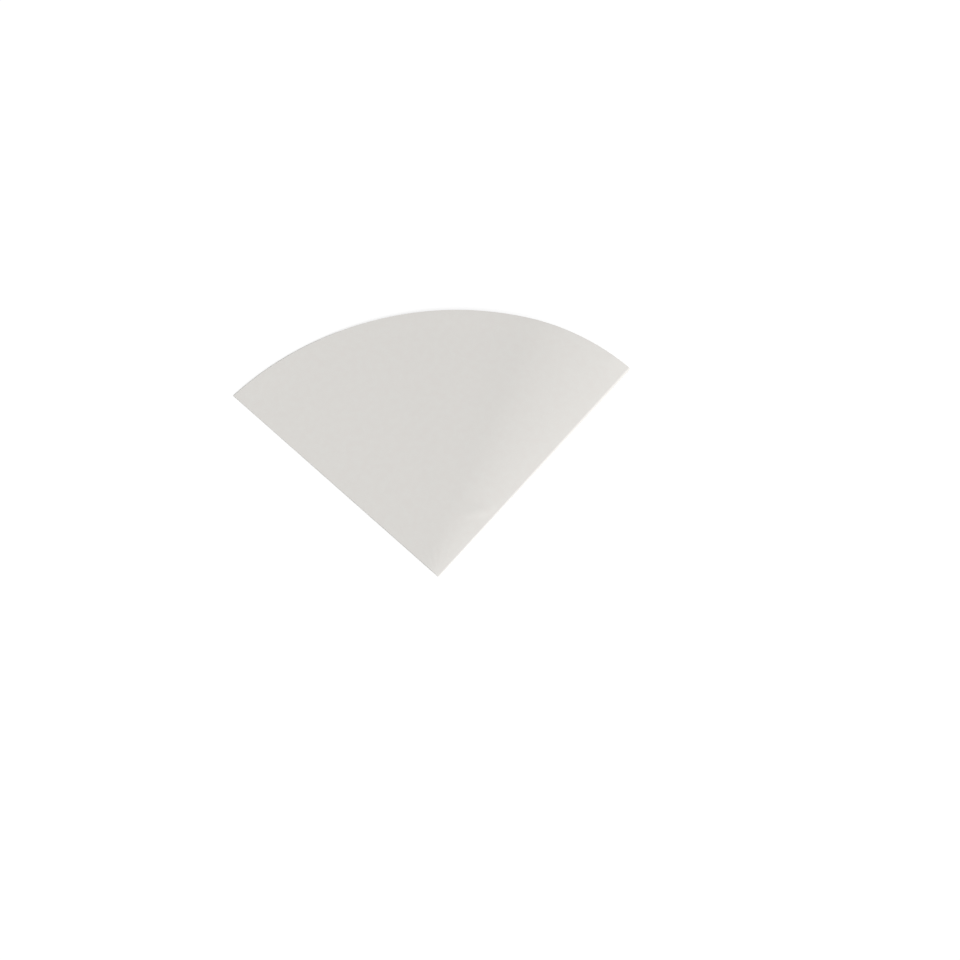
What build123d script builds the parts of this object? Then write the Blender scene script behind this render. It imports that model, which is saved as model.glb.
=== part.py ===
from build123d import *
from math import radians, tan
import os

# A coffee filter: one round of filter paper, folded twice into a quarter and lying on a table.
# Folded in half, the round is a doubled sheet: two layers with a thin pocket between them. Folded
# again, the doubled sheet lies as a lower and an upper pair of layers with a mouth between them.
# One straight side carries the two halves of the first crease, one above the other, and lies
# flat. Along the other straight side a soft roll joins the pairs and holds them apart, and it
# opens from the tip, which is the middle of the round, towards its corner on the arc.
# The tip points along -Y and the roll is on the +X side. The origin is on the table, half way
# from the tip to the arc.

# The round of paper
disc_diameter = 305.0
paper_thickness = 0.15

# The spaces between the layers, at the corner of the roll: in the pocket, in the mouth where the
# pairs lie on each other, and in the mouth inside the roll
pocket_gap = 0.3
mouth_gap = 0.3
roll_gap = 1.6

# The upper pair leaves the roll rising at this angle, arches over, and comes down straight until
# it lies on the lower pair again. The rise and the descent would meet in a ridge this far from
# the roll, and the arch rounds it off.
rise_angle = 7.0
ridge_distance = 20.0

# Along the creased side the paper is pressed: there the pockets and the roll are only this share
# as open as at the corner of the roll, and the upper pair rises at this share of its angle
pressed_share = 0.13

# How far the folded sheet is drawn on past the arc before it is cut there
cut_allowance = 2.0

disc_radius = disc_diameter / 2
drawn_length = disc_radius + cut_allowance
tip_y = -disc_radius / 2
creased_side = Plane(origin=(0, tip_y, 0), x_dir=(-1, 1, 0), z_dir=(1, 1, 0))


def opening(distance):
    """How open the folds are at a distance from the creased side, as a share."""
    return pressed_share + (1 - pressed_share) * distance / disc_radius


def pocket_height(distance):
    """The space between the two layers of a pair."""
    return pocket_gap * opening(distance)


def pair_height(distance):
    """Two layers of paper with the pocket between them."""
    return 2 * paper_thickness + pocket_height(distance)


def doubled_sheet(distance):
    """The middle line of the doubled sheet, cut across the roll at a distance from the crease.

    It comes in along the lower pair, turns up in the roll, arches over and comes down again.
    """
    lower_z = pair_height(distance) / 2
    upper_end = Vector(drawn_length, 3 * lower_z + mouth_gap)
    roll_radius = lower_z + roll_gap * opening(distance) / 2
    roll_angle = 180 - rise_angle * opening(distance)

    lower_pair = Line((drawn_length, lower_z), (lower_z + roll_radius, lower_z))
    roll = JernArc(lower_pair @ 1, lower_pair % 1, roll_radius, -roll_angle)
    ridge = roll @ 1 + (roll % 1) * ridge_distance
    arch_angle = (roll % 1).get_angle(upper_end - ridge)
    arch_radius = ridge_distance / tan(radians(arch_angle / 2))
    arch = JernArc(roll @ 1, roll % 1, arch_radius, -arch_angle)
    Line(arch @ 1, upper_end)


def wrapped_sheet(distance, height):
    """A face of the given height that follows the doubled sheet, cut across the roll."""
    with BuildSketch(creased_side.offset(distance)) as section:
        with BuildLine():
            doubled_sheet(distance)
            offset(amount=height / 2)
        make_face()
    return section.sketch


with BuildPart() as folded_filter:
    # The round, standing up from the table: its rim gives the arc
    with BuildSketch():
        with Locations((0, tip_y)):
            Circle(disc_radius)
    extrude(amount=disc_radius)

    # The doubled sheet, filled, from the creased side to beyond the far end of the roll
    filled_sections = [wrapped_sheet(d, pair_height(d)) for d in (0, drawn_length)]
    loft(filled_sections, ruled=True, mode=Mode.INTERSECT)

    # The first crease: its outside is as round as one thickness of paper makes it
    creased_end = folded_filter.faces().filter_by(creased_side)[0]
    fillet(creased_end.edges().filter_by(Axis.Z, reverse=True), radius=paper_thickness)

    # The pocket, which stops short of the creased side and leaves the crease there
    pocket_sections = [wrapped_sheet(d, pocket_height(d)) for d in (paper_thickness, drawn_length)]
    loft(pocket_sections, ruled=True, mode=Mode.SUBTRACT)

folded_filter.part.label = "folded_filter"
os.makedirs("parts", exist_ok=True)
export_step(folded_filter.part, "parts/folded_filter.step")
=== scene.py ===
import math

import bpy
import numpy as np
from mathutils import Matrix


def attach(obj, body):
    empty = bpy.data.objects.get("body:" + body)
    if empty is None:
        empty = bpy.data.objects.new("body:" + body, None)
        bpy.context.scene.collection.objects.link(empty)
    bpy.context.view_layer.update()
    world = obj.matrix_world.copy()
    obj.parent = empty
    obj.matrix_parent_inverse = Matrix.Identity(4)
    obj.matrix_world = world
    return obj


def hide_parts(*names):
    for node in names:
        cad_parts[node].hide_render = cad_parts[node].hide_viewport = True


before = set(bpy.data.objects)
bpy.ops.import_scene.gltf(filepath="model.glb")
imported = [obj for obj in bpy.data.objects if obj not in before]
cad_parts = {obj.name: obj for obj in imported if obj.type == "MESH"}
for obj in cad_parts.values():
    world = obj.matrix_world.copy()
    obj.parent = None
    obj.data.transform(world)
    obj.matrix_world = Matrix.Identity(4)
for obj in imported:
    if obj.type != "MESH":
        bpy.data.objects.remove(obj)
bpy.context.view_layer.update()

# The camera looks down on the filter from the side of its tip, close by, so that the straight
# sides run apart upwards and the arc is at the top.
camera_data = bpy.data.cameras.new("camera")
camera_data.sensor_width = 36.0
camera_data.lens = 30.0
camera_data.clip_start = 0.01
camera_data.clip_end = 50.0
camera = bpy.data.objects.new("camera", camera_data)
camera.location = (0.0272, -0.1751, 0.3857)
camera.rotation_euler = (math.radians(21.04), math.radians(1.80), math.radians(-3.18))
bpy.context.scene.collection.objects.link(camera)
bpy.context.scene.camera = camera


# The coffee filter is one round of bleached filter paper, cut from a web and folded twice by
# machine: in half along the first crease, and in half again round a soft roll. It lies on the
# table with the roll on its right side, and the upper pair of layers stands a little open.
MM = 0.001
disc_radius = 152.5 * MM
paper_thickness = 0.15 * MM

# The spaces between the layers at the corner of the roll, and the share of them that is left at
# the creased side, where the paper is pressed
pocket_gap = 0.3 * MM
mouth_gap = 0.3 * MM
roll_gap = 1.6 * MM
pressed_share = 0.13

# The upper pair leaves the roll rising at this angle, towards a ridge that is this far away at
# the corner, and comes down to the mouth's height at this distance, just past the arc
rise_angle = math.radians(8.6)
ridge_distance = 31.0 * MM
far_distance = 154.5 * MM

# The folds cross a little off the middle of the round, so the four cut edges don't lie flush:
# the middle is this far into the lower pair, and this far into the inner layers
miss_to_lower = 0.3 * MM
miss_to_inner = 0.2 * MM

# The sides lie at 45 degrees to the axes, so a distance from a side has this share along each
diagonal_share = math.sqrt(0.5)

# Steps of the grid next to a fold, how much each grows on the one before, how many there are to
# the rim, and how wide they are in the open paper
roll_step = 0.10 * MM
roll_growth = 1.06
roll_steps = 112
crease_step = 0.03 * MM
crease_growth = 1.15
crease_steps = 102
open_step = 1.9 * MM


def graded_lines(first_step, growth, count):
    """Places from -1 to 1. Their steps start at a first step in the middle, and each is larger
    than the one before by the same factor, until they are as wide as in the open paper."""
    steps = np.minimum(first_step * growth ** np.arange(count), open_step)
    places = np.concatenate(([0.0], np.cumsum(steps))) / np.sum(steps)
    return np.concatenate((-places[:0:-1], places))


def flat_round(roll_lines, crease_lines):
    """The round as it was cut, as distances from the roll's line and from the crease's line.

    A square grid becomes a disc: each coordinate is shortened by the root of one minus half
    the square of the other, so that its lines stay nearly parallel to the two folds. Then each
    point is moved out from where the folds cross, in proportion to how far the rim is from
    there in its direction, which is what a line from that place to a circle measures.
    """
    p, q = np.meshgrid(roll_lines, crease_lines, indexing="ij")
    u, v = p * np.sqrt(1 - q**2 / 2), q * np.sqrt(1 - p**2 / 2)

    # The point where the folds cross has no direction, so its length can't be nought there
    least_length = 1e-9
    miss = (miss_to_lower * u - miss_to_inner * v) / np.maximum(np.hypot(u, v), least_length)
    missed = miss_to_lower**2 + miss_to_inner**2
    reach = miss + np.sqrt(disc_radius**2 - missed + miss**2)
    return reach * u, reach * v


def folded_round(along, across):
    """Where each point of the flat round lies once it is folded: its distance from the roll's
    side, its distance from the creased side, and its height.

    The first crease turns the paper over in a half circle, and sets each layer off to one side
    of the doubled sheet. The doubled sheet is carried along a line: straight in the lower pair,
    round the roll in a circle, over the ridge in a wide arc, and straight down to the far end.
    The radii of the roll and of the arc and the way to the ridge follow from how open the folds
    are, which grows evenly from the creased side. The rise is the same all along, as on a cone.
    """
    crease_radius = (pocket_gap * pressed_share + paper_thickness) / 2
    from_crease = np.abs(across)
    turned = np.minimum(from_crease / crease_radius, math.pi / 2)
    beyond = np.maximum(from_crease - crease_radius * math.pi / 2, 0.0)
    distance = paper_thickness / 2 + crease_radius * (1 - np.cos(turned)) + beyond
    opening = pressed_share + (1 - pressed_share) * distance / disc_radius
    offset = crease_radius * np.sin(turned) + pocket_gap * (opening - pressed_share) / 2
    offset = np.copysign(offset, across)

    lower_z = paper_thickness + pocket_gap * opening / 2
    roll_radius = lower_z + roll_gap * opening / 2
    roll_middle = lower_z + roll_radius
    to_ridge = ridge_distance * opening
    ridge_x = roll_middle - roll_radius * math.sin(rise_angle) + to_ridge * math.cos(rise_angle)
    ridge_z = roll_middle + roll_radius * math.cos(rise_angle) + to_ridge * math.sin(rise_angle)
    fall = np.arctan2(ridge_z - 3 * lower_z - mouth_gap, far_distance - ridge_x)
    arch_radius = to_ridge / np.tan((rise_angle + fall) / 2)

    # How far the point has come past each part of the line, from the middle of the roll
    path = -along
    after_roll = path - roll_radius * (math.pi / 2 - rise_angle)
    in_lower = np.maximum(-path - roll_radius * math.pi / 2, 0.0)
    roll_angle = np.clip(path / roll_radius, -math.pi / 2, math.pi / 2 - rise_angle)
    arch_angle = np.clip(after_roll / arch_radius, 0.0, rise_angle + fall)
    in_upper = np.maximum(after_roll - arch_radius * (rise_angle + fall), 0.0)

    facing = roll_angle + arch_angle
    inward = roll_middle + in_lower + in_upper * np.cos(fall)
    inward -= roll_radius * np.cos(roll_angle) + offset * np.cos(facing)
    inward += arch_radius * (math.sin(rise_angle) - np.sin(rise_angle - arch_angle))
    height = roll_middle - in_upper * np.sin(fall)
    height += roll_radius * np.sin(roll_angle) + offset * np.sin(facing)
    height += arch_radius * (np.cos(rise_angle - arch_angle) - math.cos(rise_angle))
    return inward, distance, height


# Handling has left its marks on the folded sheet. Each fades in over a pair of places: it is
# nought at the first of them and full at the second.
away_from_roll = (0.0, 12 * MM)

# Gentle waves in the upper pair are sines of the angle round the tip: the share, rate and shift
# of each
wave_height = 0.05 * MM
wave_sines = ((0.6, 9.4, 0.6), (0.4, 16.0, 2.2))
waves_from_crease = (1 * MM, 30 * MM)

# A short wrinkle lies beside the roll, parallel to the X axis: its place and half its length,
# and its steep side towards the tip and its slow side towards the arc
wrinkle_height = 0.30 * MM
wrinkle_distance = 37.3 * MM
wrinkle_inward = 6.1 * MM
wrinkle_half_length = 6.5 * MM
wrinkle_steep_side = (-1.7 * MM, 0.5 * MM)
wrinkle_slow_side = (7.5 * MM, 0.5 * MM)
wrinkle_from_roll = (0.0, 4 * MM)

# Small puckers run out from the tip
pucker_height = 0.05 * MM
pucker_rate = 21
pucker_reach = (26 * MM, 5 * MM)
puckers_from_tip = (0.0, 4 * MM)

# The layers part at the cut edge, by a height that swings about its mean as a slow sine of the
# angle round the tip, and of which each layer takes its share
parting_height = 0.34 * MM
parting_mean = 0.55
parting_swing = 0.45
parting_rate = 3.6
parting_shift = 0.5
parting_shares = {"top": 1.0, "second": 0.3, "third": 0.15, "bottom": 0.0}
parting_reach = (0.90 * disc_radius, disc_radius)
parting_from_crease = (2 * MM, 12 * MM)


def smooth_step(nought_at, one_at, value):
    """Nought at one place and one at the other, level beyond both, and in between three squares
    less two cubes of the share of the way."""
    share = np.clip((value - nought_at) / (one_at - nought_at), 0.0, 1.0)
    return share**2 * (3 - 2 * share)


def handling(along, across, inward, distance):
    """How far handling has lifted each point off its even shape.

    The upper pair waves gently, as two sines of the angle round the tip that grow with the
    distance from the tip, as a cone does. Beside the roll it has a short wrinkle: a bell curve
    along it, and across it a steep smooth step towards the tip and a slow one towards the arc.
    Small puckers run out from the tip as a faster sine, and fade within a few centimetres.
    Towards the cut edge the layers part by a slow sine of the angle.
    """
    radius = np.hypot(inward, distance)
    angle = np.arctan2(inward, distance)
    upper = smooth_step(*away_from_roll, -along)
    off_crease = smooth_step(*waves_from_crease, distance)
    waves = sum(share * np.sin(rate * angle + shift) for share, rate, shift in wave_sines)
    lift = upper * off_crease * (wave_height * waves) * (radius / disc_radius)

    further = distance - wrinkle_distance
    deeper = inward - wrinkle_inward
    wrinkle = np.exp(-(((further - deeper) * diagonal_share / wrinkle_half_length) ** 2))
    wrinkle *= smooth_step(*wrinkle_steep_side, (further + deeper) * diagonal_share)
    wrinkle *= smooth_step(*wrinkle_slow_side, (further + deeper) * diagonal_share)
    lift += wrinkle_height * smooth_step(*wrinkle_from_roll, -along) * wrinkle

    near_tip = smooth_step(*pucker_reach, radius) * smooth_step(*puckers_from_tip, radius)
    lift += pucker_height * upper * near_tip * np.sin(pucker_rate * angle)

    slow_sine = np.sin(parting_rate * angle + parting_shift)
    parting = parting_height * (parting_mean + parting_swing * slow_sine)
    parting *= smooth_step(*parting_reach, radius)
    parting *= smooth_step(*parting_from_crease, distance)
    upper_share = np.where(across > 0, parting_shares["top"], parting_shares["second"])
    lower_share = np.where(across > 0, parting_shares["bottom"], parting_shares["third"])
    share = np.where(along < 0, upper_share, lower_share)
    return lift + share * smooth_step(*away_from_roll, np.abs(along)) * parting


roll_distance, crease_distance = flat_round(
    graded_lines(roll_step, roll_growth, roll_steps),
    graded_lines(crease_step, crease_growth, crease_steps),
)
inward, distance, height = folded_round(roll_distance, crease_distance)
height += handling(roll_distance, crease_distance, inward, distance)
x = (distance - inward) * diagonal_share
y = (distance + inward) * diagonal_share - disc_radius / 2
points = np.stack((x, y, height), axis=-1)

rows, columns = x.shape
index = np.arange(rows * columns).reshape(rows, columns)
quads = np.stack((index[:-1, :-1], index[1:, :-1], index[1:, 1:], index[:-1, 1:]), axis=-1)
sheet_mesh = bpy.data.meshes.new("paper_sheet")
sheet_mesh.from_pydata(points.reshape(-1, 3), [], quads.reshape(-1, 4).tolist())
sheet_mesh.shade_smooth()

# The flat round laid out as it was cut, so that the paper's pattern runs on round the folds
flat_places = np.stack((roll_distance - miss_to_lower, crease_distance + miss_to_inner), axis=-1)
flat_places = flat_places.reshape(-1, 2) / (2 * disc_radius) + 0.5
corners = np.empty(len(sheet_mesh.loops), dtype=np.int32)
sheet_mesh.loops.foreach_get("vertex_index", corners)
uv_map = sheet_mesh.uv_layers.new(name="flat_round")
uv_map.data.foreach_set("uv", flat_places[corners].astype(np.float32).ravel())

# The cut edge is crisp, so the shading stops there
ends = np.empty(2 * len(sheet_mesh.edges), dtype=np.int32)
sheet_mesh.edges.foreach_get("vertices", ends)
on_rim = np.ones((rows, columns), dtype=bool)
on_rim[1:-1, 1:-1] = False
rim_edges = on_rim.ravel()[ends].reshape(-1, 2).all(axis=1)
sharp = sheet_mesh.attributes.new("sharp_edge", "BOOLEAN", "EDGE")
sharp.data.foreach_set("value", rim_edges)

paper_sheet = bpy.data.objects.new("paper_sheet", sheet_mesh)
bpy.context.scene.collection.objects.link(paper_sheet)
thickness = paper_sheet.modifiers.new("paper_thickness", "SOLIDIFY")
thickness.thickness = paper_thickness
thickness.offset = 0.0


def linear(hex_colour):
    """An sRGB hex colour as linear red, green, blue and alpha."""
    values = np.array([int(hex_colour[i : i + 2], 16) for i in (1, 3, 5)]) / 255
    values = np.where(values <= 0.04045, values / 12.92, ((values + 0.055) / 1.055) ** 2.4)
    return (*values, 1.0)


def add_node(tree, kind, inputs=None, **settings):
    """Adds a node with its settings. Each input takes a value, or a socket of another node."""
    node = tree.nodes.new(kind)
    for name, value in settings.items():
        setattr(node, name, value)
    for name, value in (inputs or {}).items():
        if isinstance(value, bpy.types.NodeSocket):
            tree.links.new(value, node.inputs[name])
        else:
            node.inputs[name].default_value = value
    return node


# Bleached filter paper, wet laid and left uncoated: matt and faintly fibrous, with soft clouds
# where the pulp settled unevenly and a fine crepe across the run of the machine.
paper = bpy.data.materials.new("bleached_filter_paper")
paper.use_nodes = True
tree = paper.node_tree
tree.nodes.clear()
flat_place = add_node(tree, "ShaderNodeUVMap", uv_map="flat_round")
width_in_mm = 2 * disc_radius / MM
place_in_mm = add_node(
    tree,
    "ShaderNodeMapping",
    {"Vector": flat_place.outputs["UV"], "Scale": (width_in_mm, width_in_mm, 1)},
)


def pulp_noise(length, width, turn, detail):
    """Noise over the flat round, its grains of a length and a width in mm, turned by an angle."""
    lie = add_node(
        tree,
        "ShaderNodeMapping",
        {
            "Vector": place_in_mm.outputs["Vector"],
            "Rotation": (0, 0, math.radians(turn)),
            "Scale": (1 / length, 1 / width, 1),
        },
    )
    noise = add_node(
        tree,
        "ShaderNodeTexNoise",
        {"Vector": lie.outputs["Vector"], "Scale": 1.0, "Detail": detail},
        noise_dimensions="2D",
    )
    return noise.outputs["Fac"]


# The clumps of pulp, the fibres, which lie in two directions, and the crepe, in mm. The fibres
# are drawn 0.4 mm wide where the real ones are 0.03 mm, so that they show.
cloud_width = 4
fibre_length = 3
fibre_width = 0.4
crepe_length = 12
crepe_spacing = 1.5

clouds = pulp_noise(cloud_width, cloud_width, turn=0, detail=3)
fibres = add_node(
    tree,
    "ShaderNodeMath",
    {
        0: pulp_noise(fibre_length, fibre_width, turn=25, detail=2),
        1: pulp_noise(fibre_length, fibre_width, turn=-40, detail=2),
    },
    operation="ADD",
)
crepe = pulp_noise(crepe_length, crepe_spacing, turn=0, detail=2)

# The clouds are a faint change of tone. Sockets 6 and 7 of a mix node are its two colours, and
# its output 2 is the mixed one.
dense_pulp = linear("#E5E2DE")
thin_pulp = linear("#E6E4E0")
cloud_share = add_node(
    tree, "ShaderNodeMapRange", {"Value": clouds, "From Min": 0.3, "From Max": 0.7}
)
colour = add_node(
    tree,
    "ShaderNodeMix",
    {"Factor": cloud_share.outputs["Result"], 6: dense_pulp, 7: thin_pulp},
    data_type="RGBA",
)

# The relief of the crepe and of the felted fibres
crepe_height = 0.03 * MM
felt_height = 0.01 * MM
creped = add_node(
    tree, "ShaderNodeBump", {"Strength": 1.0, "Distance": crepe_height, "Height": crepe}
)
felted = add_node(
    tree,
    "ShaderNodeBump",
    {
        "Strength": 1.0,
        "Distance": felt_height,
        "Height": fibres.outputs["Value"],
        "Normal": creped.outputs["Normal"],
    },
)
dullness = add_node(
    tree,
    "ShaderNodeMapRange",
    {
        "Value": fibres.outputs["Value"],
        "From Min": 0.6,
        "From Max": 1.4,
        "To Min": 0.97,
        "To Max": 0.88,
    },
)
shader = add_node(
    tree,
    "ShaderNodeBsdfPrincipled",
    {
        "Base Color": colour.outputs[2],
        "Roughness": dullness.outputs["Result"],
        "Normal": felted.outputs["Normal"],
        "IOR": 1.47,
        "Specular IOR Level": 0.2,
        "Sheen Weight": 0.05,
        "Sheen Roughness": 0.6,
    },
)
add_node(tree, "ShaderNodeOutputMaterial", {"Surface": shader.outputs["BSDF"]})
sheet_mesh.materials.append(paper)

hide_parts("folded_filter")
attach(paper_sheet, "root")


# The table is a plain flat top of pale laminate, which the filter lies on. The camera sees it as
# white, with the filter's shadow on it, and its light on the paper is that of a pale surface.
def background_rays(tree):
    """One for the rays that show the background, from the camera or by way of gloss or glass."""
    rays = add_node(tree, "ShaderNodeLightPath").outputs
    through = add_node(
        tree,
        "ShaderNodeMath",
        {0: rays["Is Glossy Ray"], 1: rays["Is Transmission Ray"]},
        operation="MAXIMUM",
    )
    either = add_node(
        tree,
        "ShaderNodeMath",
        {0: rays["Is Camera Ray"], 1: through.outputs["Value"]},
        operation="MAXIMUM",
    )
    return either.outputs["Value"]


half_table = 4.0
table_z = -0.1 * MM
table_corners = [(-1, -1), (1, -1), (1, 1), (-1, 1)]
table_mesh = bpy.data.meshes.new("table")
table_mesh.from_pydata(
    [(half_table * i, half_table * j, table_z) for i, j in table_corners], [], [(0, 1, 2, 3)]
)
table = bpy.data.objects.new("table", table_mesh)
bpy.context.scene.collection.objects.link(table)

# White laminate: plain and matt. Where it shows, a glow makes up what its light leaves short of
# white, and keeps the shadow soft.
table_white = bpy.data.materials.new("white_laminate")
table_white.use_nodes = True
tree = table_white.node_tree
tree.nodes.clear()
pale = add_node(tree, "ShaderNodeBsdfDiffuse", {"Color": linear("#DADADA")})
shaded = add_node(tree, "ShaderNodeBsdfDiffuse", {"Color": linear("#BBBBBB")})
glow = add_node(tree, "ShaderNodeEmission", {"Strength": 0.62})
seen = add_node(
    tree,
    "ShaderNodeAddShader",
    {0: shaded.outputs["BSDF"], 1: glow.outputs["Emission"]},
)
surface = add_node(
    tree,
    "ShaderNodeMixShader",
    {0: background_rays(tree), 1: pale.outputs["BSDF"], 2: seen.outputs["Shader"]},
)
add_node(tree, "ShaderNodeOutputMaterial", {"Surface": surface.outputs["Shader"]})
table_mesh.materials.append(table_white)

# Soft studio light: a broad light low on the side of the roll, and an even surround
broad_data = bpy.data.lights.new("broad_light", "SUN")
broad_data.energy = 2.6
broad_data.angle = math.radians(40)
broad_light = bpy.data.objects.new("broad_light", broad_data)
broad_light.rotation_euler = (math.radians(52), 0, math.radians(45))
bpy.context.scene.collection.objects.link(broad_light)

surround = bpy.data.worlds.new("surround")
surround.use_nodes = True
bpy.context.scene.world = surround
tree = surround.node_tree
tree.nodes.clear()
dim = add_node(tree, "ShaderNodeBackground", {"Color": (1, 1, 1, 1), "Strength": 0.372})
white = add_node(tree, "ShaderNodeBackground", {"Color": (1, 1, 1, 1), "Strength": 1.0})
surface = add_node(
    tree,
    "ShaderNodeMixShader",
    {0: background_rays(tree), 1: dim.outputs["Background"], 2: white.outputs["Background"]},
)
add_node(tree, "ShaderNodeOutputWorld", {"Surface": surface.outputs["Shader"]})

bpy.context.scene.view_settings.view_transform = "Standard"
